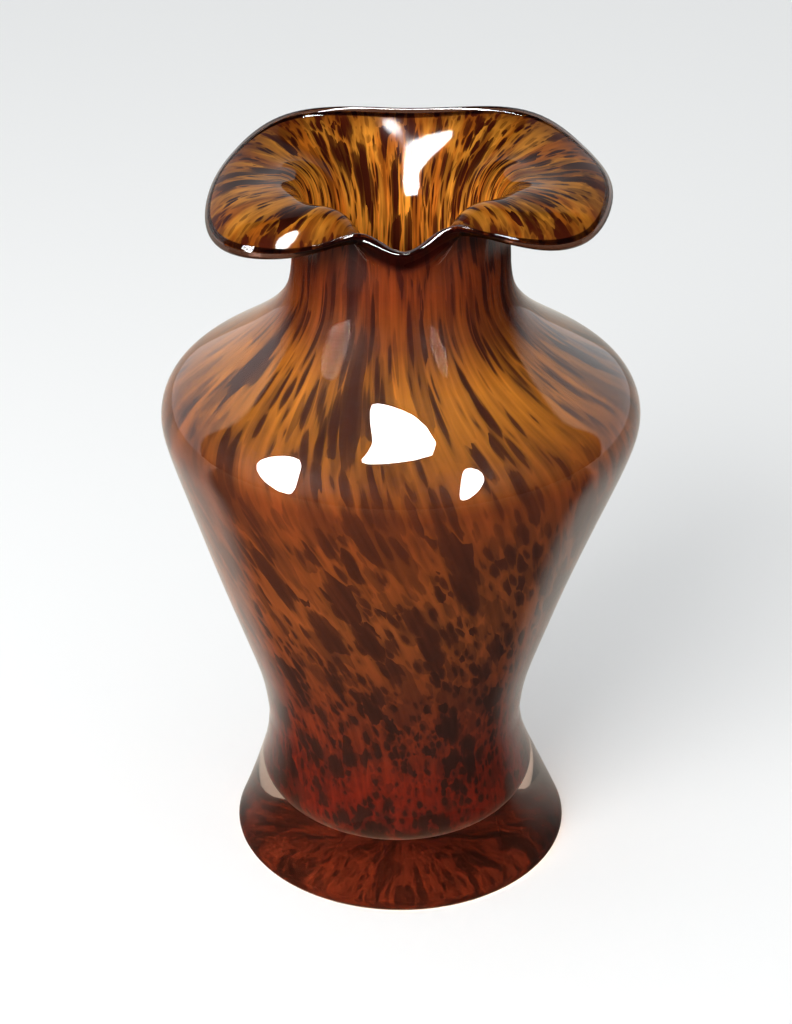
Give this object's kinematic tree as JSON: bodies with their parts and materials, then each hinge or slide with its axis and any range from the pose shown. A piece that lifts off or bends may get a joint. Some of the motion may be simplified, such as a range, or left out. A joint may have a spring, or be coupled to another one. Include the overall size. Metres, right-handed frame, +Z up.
{
  "type": "hand-blown glass vase",
  "caption": "Heavy-footed baluster vase in cased glass, with a tortoiseshell layer inside clear glass and a wide ruffled mouth pinched into a spout.",
  "frame": {"origin": "centre of the base ring, on the table", "axes": "+Z is up along the vase's axis, the spout of the mouth faces -Y, and +X is to the right of someone facing the spout"},
  "size_m": [0.1819, 0.1814, 0.29],
  "materials": {
    "clear_glass": "clear, fire polished",
    "tortoiseshell_glass": "amber ground with dark brown streaks and spots",
    "amber_glass": "opalescent amber, fire polished",
    "brown_glass": "clear brown tint, ground base ring"
  },
  "bodies": {
    "root": {"clear_casing": "clear_glass", "tortoiseshell_layer": "tortoiseshell_glass", "amber_lining": "amber_glass", "foot": "brown_glass"}
  },
  "joints": []
}
